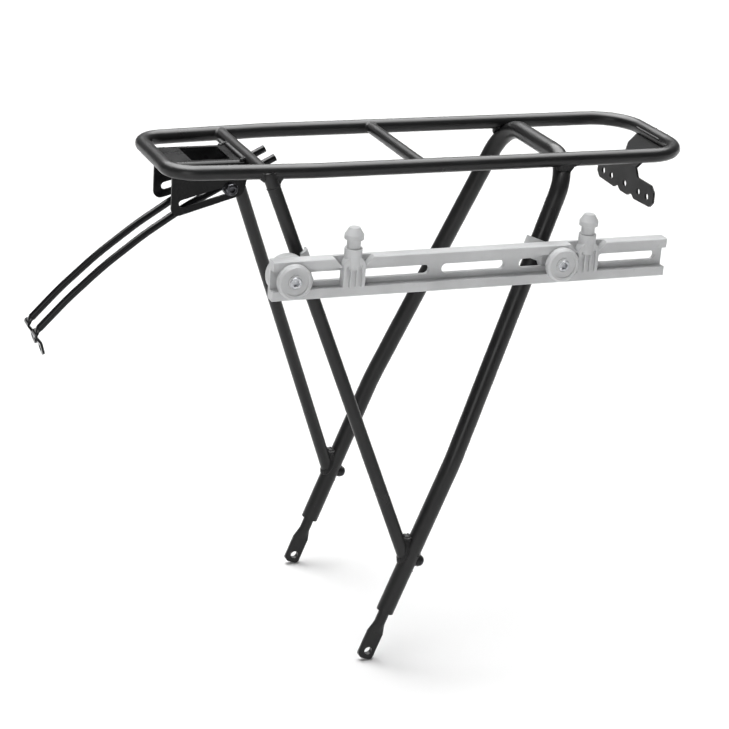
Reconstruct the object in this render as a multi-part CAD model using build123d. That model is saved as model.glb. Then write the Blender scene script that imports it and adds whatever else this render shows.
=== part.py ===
from build123d import *
from math import atan2, cos, degrees, radians, sin, tan
import os

# Rear rack for a bicycle, with its bowed front stays and a slotted pannier rail on the left side.
# Frame, in millimetres: the origin is midway between the two foot eyes, on the line through both.
# +X points to the bicycle's rear, +Y to its right side and +Z up. Side -1 is left, side +1 is right.

# ---- deck ----
DECK_HEIGHT = 418.0          # centreline of the deck tube above the foot eyes
DECK_WIDTH = 120.0           # between the centrelines of the two deck rails
DECK_FRONT = -174.5          # centreline of the front run of the loop
DECK_REAR = 275.0            # centreline of the rear run of the loop
DECK_TAPER_X = -61.0         # forward of this the rails close in
DECK_FRONT_HALF = 51.0       # half the spacing of the rails at the front run
DECK_FRONT_CORNER = 22.0
DECK_TAPER_BEND = 250.0
DECK_REAR_CORNER = 34.0
DECK_TUBE = 12.0
DECK_WALL = 2.0
FRONT_CROSS_X = -102.0
FRONT_CROSS_HEIGHT = 418.5
MIDDLE_CROSS_X = 32.5
CROSS_TUBE = 10.0
CROSS_WALL = 1.5

# ---- legs ----
FOOT_SPACING = 188.0         # between the two foot eyes
LEG_LEAN = 21.0              # degrees that the lower leg leans back from the vertical
HOOP_TUBE = 15.0
HOOP_BORE = 9.65             # guides the foot's shank
HOOP_BEND_HEIGHT = 170.0     # where the lower leg turns inwards
HOOP_BEND_RADIUS = 160.0
HOOP_TOP_X = 163.3
HOOP_TOP_HALF = 61.8
HOOP_TOP_HEIGHT = 416.5
HOOP_TOP_RADIUS = 34.0
SLEEVE_START = 38.0          # along the lower leg, from the eye to the tube's open end
FRONT_LEG_TUBE = 11.0
FRONT_LEG_WALL = 1.5
FRONT_LEG_TOP_X = -99.0
FRONT_LEG_TOP_Y = 59.0
JOINT_ALONG = 84.3           # along the lower leg, from the eye to where the front leg meets it
GUSSET_THICKNESS = 8.0
GUSSET_RISE = 28.5           # along each tube, from their meeting point
GUSSET_DIP = 2.0

# ---- feet ----
SHANK = 9.5
SHANK_END = 134.0            # along the leg, upper end of the shank
SHANK_FLAT = 1.2             # depth of the flat that the clamp screw presses on
PADDLE_WIDTH = 14.8
PADDLE_THICKNESS = 5.0
PADDLE_TOP = 17.0            # along the leg, where the paddle meets its taper
TAPER_TOP = 27.0
EYE_HOLE = 7.0
PADDLE_TIP = 7.6             # from the middle of the eye down to the paddle's end
PADDLE_CORNER = 4.6
FOOT_SCREW_ALONG = 89.5
SCREW_THREAD = 5.0
SCREW_HEAD = 9.5
SCREW_HEAD_HEIGHT = 3.8
BOSS_DIAMETER = 10.5
BOSS_HEIGHT = 2.4

# ---- front bracket ----
BRACKET_WIDTH = 52.0
BRACKET_SHEET = 2.0
BRACKET_BEND = 4.5
BRACKET_TOP = 418.0
BRACKET_FRONT = -167.0
BRACKET_PLATE_REAR = -108.5
BRACKET_REAR = -107.5
FLANGE_LOW_FRONT = 373.2
FLANGE_LOW_REAR = 390.1
WINDOW = (-149.0, -116.8, 18.0)      # front edge, rear edge, half width
SLOT_WIDTH = 6.4
SLOT_REAR = (-118.2, 395.6)          # centre of the slot's rear end, X and Z
SLOT_FRONT = (-157.6, 385.0)

# ---- stays ----
STAY_ROD = 6.0
STAY_HALF_GAP = 13.0
STAY_SLOPE = 27.0                    # degrees, along the straight part through the clamp
STAY_REAR_X = -77.5
STAY_STRAIGHT_END = -150.0
BARREL_DIAMETER = 12.0
BARREL_INNER = 8.6                   # distance of the barrel's inner end from the middle plane
CLAMP_THREAD = 6.0
CLAMP_HEAD = 10.2
CLAMP_HEAD_HEIGHT = 3.6
WASHER = (11.4, 1.0)
TAB_WIDTH = 12.0
TAB_SHEET = 2.0
TAB_HOLE = 6.0
TAB_NECK = 4.5                       # length over which the round rod turns into the flat tab
TAB_KNEE = 7.0                       # from the end of the round rod to the tab's first bend
TAB_HEEL = (-268.6, 273.0)           # second bend of the tab, X and Z
TAB_CENTRE = (-267.0, 267.0)         # centre of the tab's hole, X and Z

# ---- rear light plate ----
PLATE_SHEET = 2.0
PLATE_X = 253.6                      # rear face
PLATE_HOLE_HEIGHT = 375.2
PLATE_HOLE = 6.0
WIDE_SPACING = 80.0
NARROW_SPACING = 50.0
PLATE_HALF = 51.0
PLATE_WING_TOP = 383.5
PLATE_WING_LOW = 366.8
NECK_HALF = 16.0
NECK_FLARE = 22.0                    # half width where the neck meets the deck
NECK_BEND = 394.0

# ---- pannier rail on the left side ----
RAIL_FRONT = -105.0
RAIL_REAR = 242.0
RAIL_LOW = 324.8
RAIL_HIGH = 357.5
RAIL_BACK = -88.0
RAIL_FACE = -99.0
RAIL_WEB = 4.0
RAIL_LIP = 8.0
RAIL_SLOT_HEIGHT = 8.0
RAIL_SLOTS = ((-96.0, -42.5), (-27.0, 30.5), (41.0, 97.0), (110.0, 159.0), (182.0, 235.5))
RAIL_MIDDLE = (RAIL_LOW + RAIL_HIGH) / 2
STUD_X = {"front": -37.5, "rear": 169.0}
STUD_Y = -94.5
STUD_POST = 7.2                      # radius
STUD_HEAD = 7.8                      # radius
STUD_WAIST_LOW = 364.4
STUD_TOP = 381.2
CLAMP_X = {"front": -88.0, "rear": 144.8}
KNOB_DIAMETER = 28.6
KNOB_THICKNESS = 6.0
RUN_GAP = 0.2                        # between the sliding rail and what holds it
JAW_WALL = 3.6
JAW_BOSS = {"front": 34.0, "rear": 26.0}
JAW_HEIGHT = 17.0
JAW_RISE = 4.5                       # the ring's middle above the rail's, along the leg
FRONT_JAW_TOP = 345.0                # the front ring ends here on its leg's front side

SIDES = {"left": -1, "right": 1}
LEAN = radians(LEG_LEAN)
FOOT_Y = FOOT_SPACING / 2


def along_leg(distance, side):
    """Point on the lower leg's axis, at a distance from the foot eye."""
    return Vector(distance * sin(LEAN), side * FOOT_Y, distance * cos(LEAN))


def leg_plane(distance, side):
    """Plane square to the lower leg: its z axis runs up the leg, its y axis is the frame's Y."""
    rearwards, upwards = (cos(LEAN), 0, -sin(LEAN)), (sin(LEAN), 0, cos(LEAN))
    return Plane(origin=along_leg(distance, side), x_dir=rearwards, z_dir=upwards)


def bent_path(points, radii):
    """Straight runs joined by tangent arcs, one radius for each inner point."""
    points = [Vector(*p) for p in points]
    edges = []
    start = points[0]
    for corner, after, radius in zip(points[1:-1], points[2:], radii):
        arriving = (corner - start).normalized()
        leaving = (after - corner).normalized()
        turn = radians(arriving.get_angle(leaving))
        reach = radius * tan(turn / 2)
        arc_start = corner - arriving * reach
        arc_end = corner + leaving * reach
        bisector = (leaving - arriving).normalized()
        middle = corner + bisector * (radius / cos(turn / 2) - radius)
        edges.append(Edge.make_line(start, arc_start))
        edges.append(Edge.make_three_point_arc(arc_start, middle, arc_end))
        start = arc_end
    edges.append(Edge.make_line(start, points[-1]))
    return Wire(edges)


def swept(path, diameter):
    """Round bar of a diameter along a path."""
    return sweep(Plane(origin=path @ 0, z_dir=path % 0) * Circle(diameter / 2), path=path)


def bar(start, end, diameter):
    """Straight round bar between two points."""
    start, end = Vector(*start), Vector(*end)
    return extrude(Plane(origin=start, z_dir=end - start) * Circle(diameter / 2), amount=(end - start).length)


def y_bar(x, z, y_from, y_to, diameter):
    return bar((x, y_from, z), (x, y_to, z), diameter)


def block(x, y, z):
    """Box from three (low, high) pairs."""
    size = [high - low for low, high in (x, y, z)]
    centre = [(high + low) / 2 for low, high in (x, y, z)]
    return Pos(*centre) * Box(*size)


def side_profile(points, y_from, y_to, fillets=()):
    """Outline in X and Z, drawn out along Y. fillets lists (corner point, radius)."""
    face = Plane.XZ * make_face(Polyline(*points, close=True))
    for corner, radius in fillets:
        vertex = face.vertices().sort_by_distance((corner[0], 0, corner[1]))[0]
        face = fillet(vertex, radius)
    return Pos(0, y_to, 0) * extrude(face, amount=y_to - y_from)


def deck_bars():
    """Solid bars of the deck loop and of its bore."""
    half, front_half = DECK_WIDTH / 2, DECK_FRONT_HALF
    corners = [(DECK_FRONT, front_half), (DECK_TAPER_X, half), (DECK_REAR, half)]
    radii = [DECK_FRONT_CORNER, DECK_TAPER_BEND, DECK_REAR_CORNER]
    corners += [(x, -y) for x, y in reversed(corners)]
    points = [(DECK_FRONT, 0), *corners, (DECK_FRONT, 0)]
    path = bent_path([(x, y, DECK_HEIGHT) for x, y in points], radii + radii[::-1])
    return swept(path, DECK_TUBE), swept(path, DECK_TUBE - 2 * DECK_WALL)


def hoop_bars():
    """Solid bars of the rear hoop and of its bore: up one leg, across under the deck, down the other."""
    bend = HOOP_BEND_HEIGHT / cos(LEAN)
    points = [
        along_leg(SLEEVE_START, -1), along_leg(bend, -1),
        (HOOP_TOP_X, -HOOP_TOP_HALF, HOOP_TOP_HEIGHT), (HOOP_TOP_X, HOOP_TOP_HALF, HOOP_TOP_HEIGHT),
        along_leg(bend, 1), along_leg(SLEEVE_START, 1),
    ]
    path = bent_path(points, [HOOP_BEND_RADIUS, HOOP_TOP_RADIUS, HOOP_TOP_RADIUS, HOOP_BEND_RADIUS])
    return swept(path, HOOP_TUBE), swept(path, HOOP_BORE)


DECK_SOLID, DECK_BORE = deck_bars()
HOOP_SOLID, HOOP_BORE_SOLID = hoop_bars()


def deck_loop():
    return DECK_SOLID - DECK_BORE


def rail_half(x):
    """Distance of a deck rail's centreline from the middle plane."""
    close_in = max(0.0, (DECK_TAPER_X - x) / (DECK_TAPER_X - DECK_FRONT))
    return DECK_WIDTH / 2 - close_in * (DECK_WIDTH / 2 - DECK_FRONT_HALF)


def cross_tube(x, z):
    """Tube between the deck rails, its ends cut to the rails."""
    half = rail_half(x)
    tube = y_bar(x, z, -half, half, CROSS_TUBE) - y_bar(x, z, -half, half, CROSS_TUBE - 2 * CROSS_WALL)
    return (tube - DECK_SOLID).solids().sort_by(SortBy.VOLUME)[-1]


def rear_hoop():
    """One tube for both rear legs, notched where it is welded under the deck rails."""
    hoop = HOOP_SOLID - HOOP_BORE_SOLID - DECK_SOLID
    for side in SIDES.values():
        hoop -= foot_screw_bar(side, SCREW_THREAD, 0, HOOP_TUBE)
    return hoop


def foot_screw_bar(side, diameter, start, end):
    """Bar square to the lower leg at the clamp screw, out of the leg's rear face."""
    plane = leg_plane(FOOT_SCREW_ALONG, side)
    first = plane.origin + plane.x_dir * start
    last = plane.origin + plane.x_dir * end
    return bar(first, last, diameter)


def front_leg(side):
    """Straight tube from under the deck rail to the lower leg, its ends cut to the tubes they meet."""
    top = (FRONT_LEG_TOP_X, side * FRONT_LEG_TOP_Y, DECK_HEIGHT)
    foot = along_leg(JOINT_ALONG, side)
    tube = bar(top, foot, FRONT_LEG_TUBE) - bar(top, foot, FRONT_LEG_TUBE - 2 * FRONT_LEG_WALL)
    half = rail_half(FRONT_CROSS_X)
    cross = y_bar(FRONT_CROSS_X, FRONT_CROSS_HEIGHT, -half, half, CROSS_TUBE)
    tube = tube - DECK_SOLID - HOOP_SOLID - cross
    return tube.solids().sort_by(SortBy.VOLUME)[-1]


def leg_gusset(side):
    """Web in the fork between the front leg and the rear leg, with a dished upper edge."""
    meet = along_leg(JOINT_ALONG, side)
    top = Vector(FRONT_LEG_TOP_X, side * FRONT_LEG_TOP_Y, DECK_HEIGHT)
    forward = (top - meet).normalized()
    upward = Vector(sin(LEAN), 0, cos(LEAN))
    left = meet + forward * GUSSET_RISE
    right = meet + upward * GUSSET_RISE
    middle = (left + right) * 0.5
    dip = middle - (middle - meet).normalized() * GUSSET_DIP
    dished = Edge.make_three_point_arc(left, dip, right)
    web = Face(Wire([Edge.make_line(meet, left), dished, Edge.make_line(right, meet)]))
    normal = web.normal_at()
    plate = extrude(web, amount=GUSSET_THICKNESS / 2, dir=normal, both=True)
    plate = plate - HOOP_SOLID - bar(top, meet, FRONT_LEG_TUBE)
    return plate.solids().sort_by(SortBy.VOLUME)[-1]


def foot(side):
    """Shank that slides in the leg, flattened below into a paddle with the eye. The right one is mirrored."""
    plane = leg_plane(0, -1)
    shank = plane * Pos(0, 0, TAPER_TOP) * extrude(Circle(SHANK / 2), amount=SHANK_END - TAPER_TOP)
    blade = Rectangle(PADDLE_WIDTH, PADDLE_THICKNESS)
    blade = fillet(blade.vertices(), PADDLE_THICKNESS * 0.35)
    taper = loft([plane * Pos(0, 0, PADDLE_TOP) * blade, plane * Pos(0, 0, TAPER_TOP) * Circle(SHANK / 2)])
    paddle = leg_plane(-PADDLE_TIP, -1) * extrude(blade, amount=PADDLE_TOP + PADDLE_TIP)
    side_view = Plane(origin=along_leg(0, -1), x_dir=plane.x_dir, z_dir=(0, -1, 0))
    outline = Pos(0, (PADDLE_TOP - PADDLE_TIP) / 2) * Rectangle(PADDLE_WIDTH, PADDLE_TOP + PADDLE_TIP)
    outline = fillet(outline.vertices().group_by(Axis.Y)[0], PADDLE_CORNER)
    paddle &= side_view * extrude(outline, amount=PADDLE_THICKNESS, both=True)
    hole = y_bar(0, 0, -FOOT_Y - PADDLE_THICKNESS, -FOOT_Y + PADDLE_THICKNESS, EYE_HOLE)
    flat_start = FOOT_SCREW_ALONG - 45.0
    on_base = (Align.CENTER, Align.CENTER, Align.MIN)
    flat_box = Box(SHANK_FLAT * 2, SHANK, SHANK_END - flat_start - 4.0, align=on_base)
    flat = plane * Pos(SHANK / 2, 0, flat_start) * flat_box
    whole = shank + taper + paddle - hole - flat
    return whole if side < 0 else mirror(whole, about=Plane.XZ)


def foot_screw(side):
    """Dome-head socket screw that clamps the shank."""
    tip = SHANK / 2 - SHANK_FLAT + RUN_GAP
    seat = HOOP_TUBE / 2 + BOSS_HEIGHT
    plane = leg_plane(FOOT_SCREW_ALONG, side)
    head_plane = Plane(origin=plane.origin + plane.x_dir * seat, z_dir=plane.x_dir)
    head = extrude(Circle(SCREW_HEAD / 2), amount=SCREW_HEAD_HEIGHT)
    head = fillet(head.edges().sort_by(Axis.Z)[-1], SCREW_HEAD_HEIGHT * 0.85)
    head -= Pos(0, 0, SCREW_HEAD_HEIGHT * 0.35) * extrude(RegularPolygon(1.75, 6), amount=SCREW_HEAD_HEIGHT)
    return head_plane * head + foot_screw_bar(side, SCREW_THREAD, tip, seat)


def foot_screw_boss(side):
    """Flange of the threaded insert under the clamp screw's head."""
    ring = foot_screw_bar(side, BOSS_DIAMETER, 0, HOOP_TUBE / 2 + BOSS_HEIGHT)
    return ring - HOOP_SOLID - HOOP_BORE_SOLID - foot_screw_bar(side, SCREW_THREAD, 0, HOOP_TUBE)


def flange_slot(width):
    """Slot through both flanges, sloping up to the rear."""
    front, rear = Vector(SLOT_FRONT[0], 0, SLOT_FRONT[1]), Vector(SLOT_REAR[0], 0, SLOT_REAR[1])
    slope = degrees(atan2(rear.Z - front.Z, rear.X - front.X))
    slot = extrude(SlotCenterToCenter((rear - front).length, width), amount=BRACKET_WIDTH, both=True)
    middle = (front + rear) * 0.5
    return Pos(middle.X, 0, middle.Z) * Rot(0, -slope, 0) * Rot(90, 0, 0) * slot


def front_bracket():
    """Sheet folded down at both sides: a windowed top plate, and two slotted flanges."""
    half = BRACKET_WIDTH / 2
    reach = BRACKET_TOP - FLANGE_LOW_FRONT + 5.0
    outer = Pos(0, BRACKET_TOP - reach / 2) * Rectangle(BRACKET_WIDTH, reach)
    inside = BRACKET_WIDTH - 2 * BRACKET_SHEET
    inner = Pos(0, BRACKET_TOP - BRACKET_SHEET - reach / 2) * Rectangle(inside, reach)
    outer = fillet(outer.vertices().group_by(Axis.Y)[-1], BRACKET_BEND)
    inner = fillet(inner.vertices().group_by(Axis.Y)[-1], BRACKET_BEND - BRACKET_SHEET)
    channel = extrude(Plane.YZ.offset(DECK_FRONT) * (outer - inner), amount=FRONT_CROSS_X - DECK_FRONT)
    low_front, low_rear = (BRACKET_FRONT, FLANGE_LOW_FRONT), (BRACKET_REAR, FLANGE_LOW_REAR)
    tongue_low = BRACKET_TOP - BRACKET_SHEET
    outline = [
        (DECK_FRONT, BRACKET_TOP), (DECK_FRONT, tongue_low), (BRACKET_FRONT, tongue_low),
        low_front, low_rear, (FRONT_CROSS_X, BRACKET_TOP),
    ]
    profile = side_profile(outline, -half, half, [(low_front, 6.0), (low_rear, 8.0)])
    bracket = channel & profile
    front, rear, window_half = WINDOW
    window = fillet((Pos((front + rear) / 2, 0) * Rectangle(rear - front, 2 * window_half)).vertices(), 1.5)
    bracket -= Pos(0, 0, BRACKET_TOP - 5) * extrude(window, amount=10)
    web_half = half - BRACKET_BEND
    plate_end = (BRACKET_PLATE_REAR, FRONT_CROSS_X)
    bracket -= block(plate_end, (-web_half, web_half), (tongue_low - 1, BRACKET_TOP + 1))
    bracket -= flange_slot(SLOT_WIDTH)
    return bracket - DECK_SOLID - y_bar(FRONT_CROSS_X, FRONT_CROSS_HEIGHT, -half, half, CROSS_TUBE)


def stay_height(x):
    """Height of the straight part of the stay at a given X."""
    return SLOT_REAR[1] + (x - SLOT_REAR[0]) * tan(radians(STAY_SLOPE))


def stay_path(side):
    """Straight through the clamp, then bowed down to the front."""
    y = side * STAY_HALF_GAP
    points = [
        (STAY_REAR_X, y, stay_height(STAY_REAR_X)), (STAY_STRAIGHT_END, y, stay_height(STAY_STRAIGHT_END)),
        (-184.0, y, 357.6), (-216.0, y, 333.6), (-246.0, y, 306.9), (-268.5, y, 283.6),
    ]
    return bent_path(points, [180.0, 220.0, 260.0, 260.0])


def stay_rod(side):
    return swept(stay_path(side), STAY_ROD)


def stay_tab(side):
    """Flattened end of the stay, bent to hang down, with the hole for the frame's screw."""
    y = side * STAY_HALF_GAP
    path = stay_path(side)
    end, out = path @ 1, path % 1
    start, knee = end + out * TAB_NECK, end + out * TAB_KNEE
    heel, low = Vector(TAB_HEEL[0], y, TAB_HEEL[1]), Vector(TAB_CENTRE[0], y, TAB_CENTRE[1])
    line = bent_path([start, knee, heel, low], [2.5, 4.0])
    flat = Plane(origin=start, x_dir=(0, 1, 0), z_dir=out) * Rectangle(TAB_WIDTH, TAB_SHEET)
    neck = loft([Plane(origin=end, x_dir=(0, 1, 0), z_dir=out) * Circle(STAY_ROD / 2), flat])
    strip = neck + sweep(flat, path=line)
    down = (low - heel).normalized()
    face = Plane(origin=low, x_dir=(0, 1, 0), z_dir=Vector(0, 1, 0).cross(down))
    half_disc = Circle(TAB_WIDTH / 2) - Pos(0, -TAB_WIDTH / 2) * Rectangle(TAB_WIDTH, TAB_WIDTH)
    strip += face * extrude(half_disc, amount=TAB_SHEET / 2, both=True)
    strip -= face * extrude(Circle(TAB_HOLE / 2), amount=TAB_SHEET * 2, both=True)
    return strip


def clamp_barrel(side):
    """Cross-drilled barrel that the stay passes through."""
    x, z = SLOT_REAR
    outer = BRACKET_WIDTH / 2 - BRACKET_SHEET - RUN_GAP
    barrel = y_bar(x, z, side * BARREL_INNER, side * outer, BARREL_DIAMETER)
    barrel = chamfer(barrel.edges().filter_by(GeomType.CIRCLE), 0.6)
    slope = radians(STAY_SLOPE)
    reach = Vector(cos(slope), 0, sin(slope)) * BARREL_DIAMETER
    centre = Vector(x, side * STAY_HALF_GAP, z)
    barrel -= bar(centre - reach, centre + reach, STAY_ROD + 0.1)
    return barrel - y_bar(x, z, side * (STAY_HALF_GAP + 3.5), side * outer, CLAMP_THREAD + 0.1)


def clamp_washer(side):
    x, z = SLOT_REAR
    diameter, thickness = WASHER
    seat = BRACKET_WIDTH / 2 + 0.05
    ring = y_bar(x, z, side * seat, side * (seat + thickness), diameter)
    return ring - y_bar(x, z, side * seat, side * (seat + thickness), CLAMP_THREAD)


def clamp_screw(side):
    """Dome-head screw through the flange's slot, threaded into the barrel."""
    x, z = SLOT_REAR
    seat = BRACKET_WIDTH / 2 + 0.05 + WASHER[1]
    head = extrude(Circle(CLAMP_HEAD / 2), amount=CLAMP_HEAD_HEIGHT)
    head = fillet(head.edges().sort_by(Axis.Z)[-1], CLAMP_HEAD_HEIGHT * 0.6)
    head -= Pos(0, 0, CLAMP_HEAD_HEIGHT * 0.35) * extrude(RegularPolygon(2.3, 6), amount=CLAMP_HEAD_HEIGHT)
    placed = Plane(origin=(x, side * seat, z), z_dir=(0, side, 0)) * head
    return placed + y_bar(x, z, side * (STAY_HALF_GAP + 3.7), side * seat, CLAMP_THREAD)


def light_plate():
    """Sheet with a scalloped lower edge and five holes, bent back up to the rear run of the deck."""
    front = PLATE_X - PLATE_SHEET
    wing_top = PLATE_WING_TOP + 3
    wing = [(-PLATE_HALF, 372.5), (-PLATE_HALF, 381.5), (-45.0, wing_top), (-NECK_HALF - 5, wing_top)]
    neck = [(-NECK_HALF, NECK_BEND)]
    scallops = [(-6.5, PLATE_WING_LOW), (-12.5, 370.4), (-18.5, PLATE_WING_LOW), (-46.0, PLATE_WING_LOW + 1.0)]
    left = wing + neck
    right = [(-y, z) for y, z in reversed(left)]
    low_right = [(-y, z) for y, z in reversed(scallops)]
    outline = left + right + low_right + scallops
    blade = fillet(make_face(Polyline(*outline, close=True)).vertices(), 2.0)
    blade = extrude(Plane(origin=(front, 0, 0), x_dir=(0, 1, 0), z_dir=(1, 0, 0)) * blade, amount=PLATE_SHEET)
    rise = DECK_HEIGHT - 4.0 - NECK_BEND
    run = DECK_REAR - 1.0 - PLATE_X
    lean = atan2(run, rise)
    step = PLATE_SHEET / cos(lean)
    slope_outline = [
        (front, NECK_BEND - 2.0), (PLATE_X, NECK_BEND - 2.0), (PLATE_X, NECK_BEND - 0.6),
        (PLATE_X + run, NECK_BEND + rise - 0.6), (PLATE_X + run - step, NECK_BEND + rise),
        (front, NECK_BEND + 0.6),
    ]
    slope = side_profile(slope_outline, -NECK_FLARE, NECK_FLARE)
    middle_x = DECK_REAR - DECK_TUBE
    flare = [(front - 1, NECK_HALF), (middle_x - 5, NECK_HALF)]
    flare += [(middle_x, NECK_FLARE), (DECK_REAR + 5, NECK_FLARE)]
    flare += [(x, -y) for x, y in reversed(flare)]
    slope &= Pos(0, 0, PLATE_HOLE_HEIGHT) * extrude(make_face(Polyline(*flare, close=True)), amount=60)
    plate = blade + slope
    for y in (-WIDE_SPACING / 2, -NARROW_SPACING / 2, 0, NARROW_SPACING / 2, WIDE_SPACING / 2):
        plate -= bar((front - 2, y, PLATE_HOLE_HEIGHT), (PLATE_X + 2, y, PLATE_HOLE_HEIGHT), PLATE_HOLE)
    return plate - DECK_SOLID


def side_rail():
    """Channel open to the left, with slots along its web and gaps in its upper lip at the studs."""
    rail = block((RAIL_FRONT, RAIL_REAR), (RAIL_FACE, RAIL_BACK), (RAIL_LOW, RAIL_HIGH))
    inner = (RAIL_LOW + RAIL_LIP, RAIL_HIGH - RAIL_LIP)
    rail = chamfer(rail.edges().filter_by(Axis.X), 0.8)
    rail -= block((RAIL_FRONT - 1, RAIL_REAR + 1), (RAIL_FACE - 1, RAIL_BACK - RAIL_WEB), inner)
    for start, end in RAIL_SLOTS:
        slot = extrude(SlotOverall(end - start, RAIL_SLOT_HEIGHT), amount=20, both=True)
        rail -= Pos((start + end) / 2, RAIL_BACK, RAIL_MIDDLE) * Rot(90, 0, 0) * slot
    for x in STUD_X.values():
        gap = [(x - 18, RAIL_HIGH + 1), (x - 16.5, RAIL_HIGH), (x - 9.4, RAIL_HIGH - RAIL_LIP)]
        gap += [(x + 9.4, RAIL_HIGH - RAIL_LIP), (x + 16.5, RAIL_HIGH), (x + 18, RAIL_HIGH + 1)]
        rail -= side_profile(gap, RAIL_FACE - 1, RAIL_BACK - RAIL_WEB)
        rail -= y_bar(x, RAIL_MIDDLE, RAIL_BACK - RAIL_WEB, RAIL_BACK, SCREW_THREAD)
    return rail


def rail_stud(x):
    """Turned pin with a domed head on an arched base block that stands in the rail's channel."""
    low, shoulder = RAIL_LOW + RAIL_LIP, RAIL_HIGH - RAIL_LIP + 0.4
    face, back = RAIL_FACE - 1.5, RAIL_BACK - RAIL_WEB
    base = block((x - 9.2, x + 9.2), (face, back), (low, shoulder))
    arch = Pos(x, (face + back) / 2, shoulder) * Rot(90, 0, 0) * Cylinder(9.0, back - face)
    base += arch & block((x - 9.2, x + 9.2), (face, back), (shoulder - 1, shoulder + 9.2))
    for offset in (-5.0, 0.0, 5.0):
        base -= block((x + offset - 1.5, x + offset + 1.5), (face - 1, face + 1.6), (low - 1, shoulder + 1.0))
    post = [(0, shoulder - 2), (STUD_POST, shoulder - 2), (STUD_POST, STUD_WAIST_LOW), (5.6, 364.6)]
    post += [(5.6, 371.0), (STUD_HEAD, 371.8), (STUD_HEAD, 375.6), (4.4, STUD_TOP), (0, STUD_TOP)]
    profile = make_face(Polyline(*post, close=True))
    pin = Pos(x, STUD_Y, 0) * revolve(Plane.XZ * profile, Axis.Z)
    pin -= block((x - 9, x + 9), (RAIL_BACK - RAIL_WEB, RAIL_BACK + 1), (low, RAIL_HIGH))
    stud = base + pin
    return stud - y_bar(x, RAIL_MIDDLE, back - 5, back, SCREW_THREAD)


def stud_screws():
    """Countersunk-side screws that hold the studs from behind the web."""
    screws = []
    for x in STUD_X.values():
        shank = y_bar(x, RAIL_MIDDLE, RAIL_BACK - RAIL_WEB - 5, RAIL_BACK, SCREW_THREAD)
        head = y_bar(x, RAIL_MIDDLE, RAIL_BACK, RAIL_BACK + 2.0, SCREW_HEAD)
        head = chamfer(head.edges().filter_by(GeomType.CIRCLE).sort_by(Axis.Y)[-1], 0.8)
        socket = extrude(RegularPolygon(1.7, 6), amount=2.2)
        recess = Pos(x, RAIL_BACK + 3.0, RAIL_MIDDLE) * Rot(90, 0, 0) * socket
        screws.append(shank + head - recess)
    return Compound(children=screws)


def rail_knob(x):
    """Round clamp plate that bears on the rail's lips, with a hub in the channel."""
    face = RAIL_FACE - RUN_GAP - KNOB_THICKNESS
    disc = y_bar(x, RAIL_MIDDLE, face, RAIL_FACE - RUN_GAP, KNOB_DIAMETER)
    disc = chamfer(disc.edges().filter_by(GeomType.CIRCLE).sort_by(Axis.Y)[0], 1.6)
    disc -= y_bar(x, RAIL_MIDDLE, face, face + 0.8, 21.0) - y_bar(x, RAIL_MIDDLE, face, face + 0.8, 12.5)
    hub = y_bar(x, RAIL_MIDDLE, RAIL_FACE - RUN_GAP - 1, RAIL_BACK - RAIL_WEB - RUN_GAP, 14.0)
    bolt_hole = y_bar(x, RAIL_MIDDLE, face, RAIL_BACK, 6.0)
    return disc + hub - bolt_hole - y_bar(x, RAIL_MIDDLE, face, face + 3.0, 10.0)


def rail_bolt(x):
    """Socket-head bolt of the rail clamp, from the knob's face into the jaw."""
    face = RAIL_FACE - RUN_GAP - KNOB_THICKNESS
    head = y_bar(x, RAIL_MIDDLE, face - 0.4, face + 3.0, 10.0)
    head = chamfer(head.edges().filter_by(GeomType.CIRCLE).sort_by(Axis.Y)[0], 0.5)
    head -= Pos(x, face, RAIL_MIDDLE) * Rot(90, 0, 0) * extrude(RegularPolygon(2.9, 6), amount=2.2, both=True)
    return head + y_bar(x, RAIL_MIDDLE, face + 2.5, RAIL_BACK + 6.5, 6.0)


def rail_jaw(x, boss_diameter, top, foot, tube):
    """Ring that grips a left leg, open on its inner side, with a round boss towards the rail."""
    top, foot = Vector(*top), Vector(*foot)
    direction = (top - foot).normalized()
    centre = foot + direction * ((RAIL_MIDDLE - foot.Z) / direction.Z + JAW_RISE)
    half = direction * (JAW_HEIGHT / 2)
    ring = bar(centre - half, centre + half, tube + 2 * JAW_WALL)
    low_y = RAIL_BACK + RUN_GAP
    boss = y_bar(x, RAIL_MIDDLE, low_y, low_y + 8.5, boss_diameter)
    boss = chamfer(boss.edges().filter_by(GeomType.CIRCLE), 0.8)
    bridge_low, bridge_high = sorted((x, centre.X))
    bridge = block((bridge_low, bridge_high), (low_y, centre.Y), (RAIL_MIDDLE - 2, RAIL_MIDDLE + 9))
    jaw = ring + boss + bridge
    jaw -= block((-200, 260), (RAIL_BACK - 50, low_y), (250, 400))
    if x < 0:
        jaw -= block((-200, centre.X - 2), (-80, -40), (FRONT_JAW_TOP, 400))
    jaw -= bar(centre - half * 2, centre + half * 2, tube)
    jaw -= block((centre.X - 5, centre.X + 5), (centre.Y, centre.Y + 30), (300, 390))
    jaw -= y_bar(x, RAIL_MIDDLE, low_y - 1, RAIL_BACK + 6.5, 6.0)
    return jaw.solids().sort_by(SortBy.VOLUME)[-1]


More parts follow.
